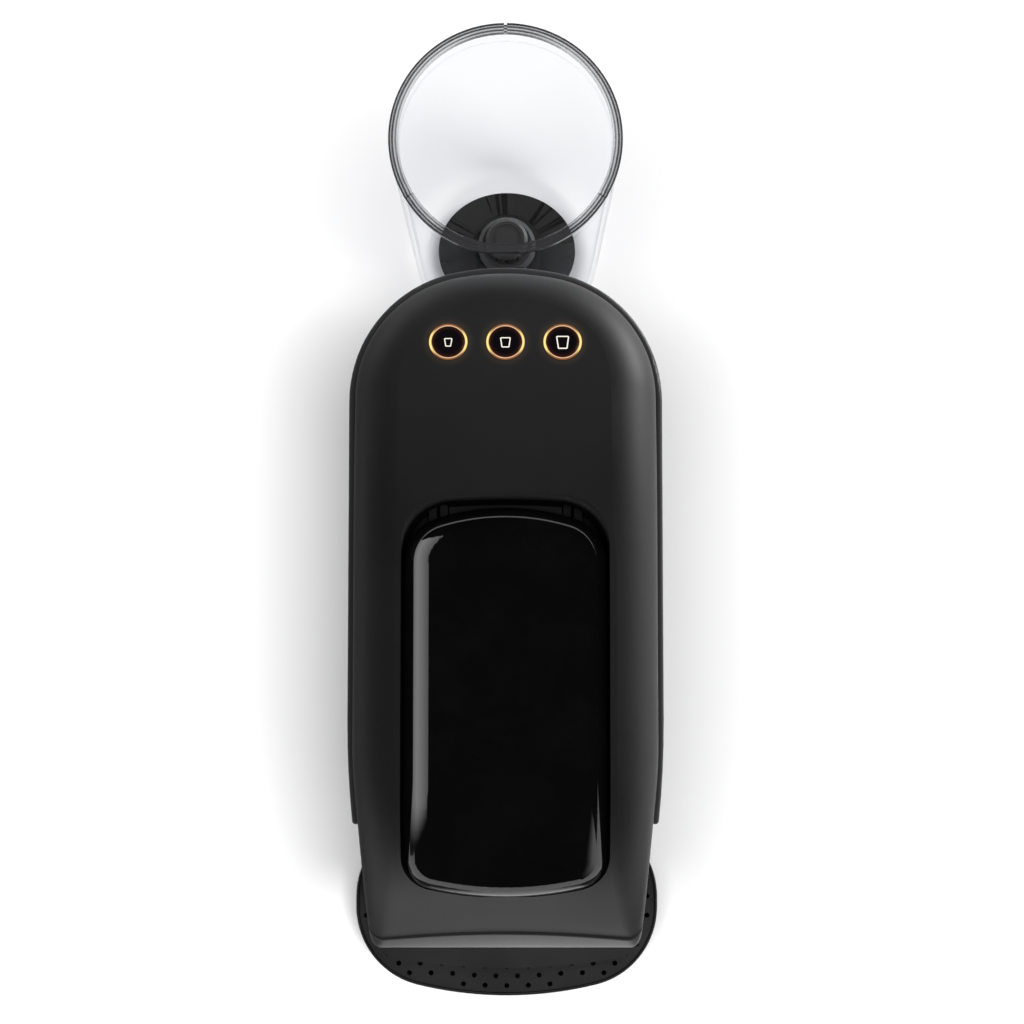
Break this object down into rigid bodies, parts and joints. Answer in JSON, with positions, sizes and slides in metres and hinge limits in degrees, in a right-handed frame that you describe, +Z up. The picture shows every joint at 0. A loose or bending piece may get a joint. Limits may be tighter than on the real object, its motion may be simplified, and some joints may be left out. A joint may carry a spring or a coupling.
{
  "type": "pod coffee machine",
  "caption": "Compact pod coffee machine with a rounded black body, a glossy opening lever, lit cup buttons, an oval drip tray and a clear water tank behind.",
  "frame": {"origin": "on the table under the middle of the part's box", "axes": "+X to the right seen from the front, +Y to the rear (water tank), +Z up"},
  "size_m": [0.143, 0.404, 0.2568],
  "materials": {
    "satin_black": "satin",
    "matte_black": "matte",
    "gloss_black": "gloss",
    "ring_light": "satin",
    "clear_plastic": "gloss",
    "dark_moulding": "matte",
    "rubber": "matte",
    "steel": "satin",
    "aluminium": "satin",
    "brass": "satin",
    "pump_varnish": "satin",
    "board": "satin",
    "component_black": "matte"
  },
  "bodies": {
    "machine": {"base_plate": "matte_black", "rubber_feet": "rubber", "base_screws": "steel", "tank_dock": "matte_black", "dock_pin": "steel", "dock_seal": "rubber", "side_shell": "satin_black", "chassis": "dark_moulding", "front_fascia": "matte_black", "head_floor": "matte_black", "spout_visor": "matte_black", "top_cover": "satin_black", "capsule_guide": "dark_moulding", "capsule_chute": "dark_moulding", "brew_frame": "dark_moulding", "guide_rods": "steel", "extraction_head": "dark_moulding", "coffee_channel": "dark_moulding", "spout_nozzle": "dark_moulding", "feed_sleeve": "dark_moulding", "lever_pin": "steel", "light_guide": "ring_light", "control_board": "board", "push_switches": "component_black", "pump_coil": "pump_varnish", "pump_core": "brass", "pump_bracket": "dark_moulding", "pump_mounts": "rubber", "heater_block": "aluminium", "thermostat": "steel", "flow_meter": "dark_moulding", "intake_hose": "rubber", "suction_hose": "rubber", "pressure_hose": "rubber", "brew_hose": "rubber", "power_board": "board", "board_components": "component_black", "cord_gland": "dark_moulding"},
    "lever": {"lever_shell": "gloss_black", "lever_liner": "matte_black", "cam_plate_left": "dark_moulding", "cam_plate_right": "dark_moulding"},
    "carriage": {"capsule_cage": "dark_moulding", "injection_needles": "steel", "brew_seal": "rubber", "follower_pins": "steel", "feed_tube": "steel"},
    "small_cup_button": {"button_small": "gloss_black"},
    "medium_cup_button": {"button_medium": "gloss_black"},
    "large_cup_button": {"button_large": "gloss_black"},
    "tank": {"water_tank": "clear_plastic", "valve_body": "dark_moulding", "tank_strainer": "dark_moulding", "valve_spring": "steel"},
    "valve": {"valve_plunger": "dark_moulding"},
    "tray": {"drip_tray": "matte_black"},
    "grid": {"drip_grid": "matte_black"},
    "bin": {"capsule_bin": "matte_black"}
  },
  "joints": [
    {"name": "lever_hinge", "type": "hinge", "parent": "machine", "child": "lever", "pos_m": [0, -0.006, 0.246], "axis": [-1, 0, 0], "range_deg": [0, 75]},
    {"name": "carriage_slide", "type": "slide", "parent": "machine", "child": "carriage", "axis": [0, 1, 0], "range_m": [0, 0.02]},
    {"name": "small_cup_press", "type": "slide", "parent": "machine", "child": "small_cup_button", "axis": [0, -0.2345, -0.9721], "range_m": [0, 0.001], "stiffness_N_per_m": 700},
    {"name": "medium_cup_press", "type": "slide", "parent": "machine", "child": "medium_cup_button", "axis": [0, -0.2345, -0.9721], "range_m": [0, 0.001], "stiffness_N_per_m": 700},
    {"name": "large_cup_press", "type": "slide", "parent": "machine", "child": "large_cup_button", "axis": [0, -0.2345, -0.9721], "range_m": [0, 0.001], "stiffness_N_per_m": 700},
    {"name": "tank_lift", "type": "slide", "parent": "machine", "child": "tank", "axis": [0, 0, 1], "range_m": [0, 0.09]},
    {"name": "valve_lift", "type": "slide", "parent": "tank", "child": "valve", "axis": [0, 0, 1], "range_m": [0, 0.003], "stiffness_N_per_m": 300, "deforming": ["valve_spring"]},
    {"name": "tray_slide", "type": "slide", "parent": "machine", "child": "tray", "axis": [0, -1, 0], "range_m": [0, 0.1]},
    {"name": "grid_lift", "type": "slide", "parent": "tray", "child": "grid", "axis": [0, 0, 1], "range_m": [0, 0.022]},
    {"name": "bin_slide", "type": "slide", "parent": "machine", "child": "bin", "axis": [0, -1, 0], "range_m": [0, 0.11]}
  ],
  "couplings": [
    {"joint": "carriage_slide", "follows": "lever_hinge", "m_per_rad": 0.015279}
  ]
}
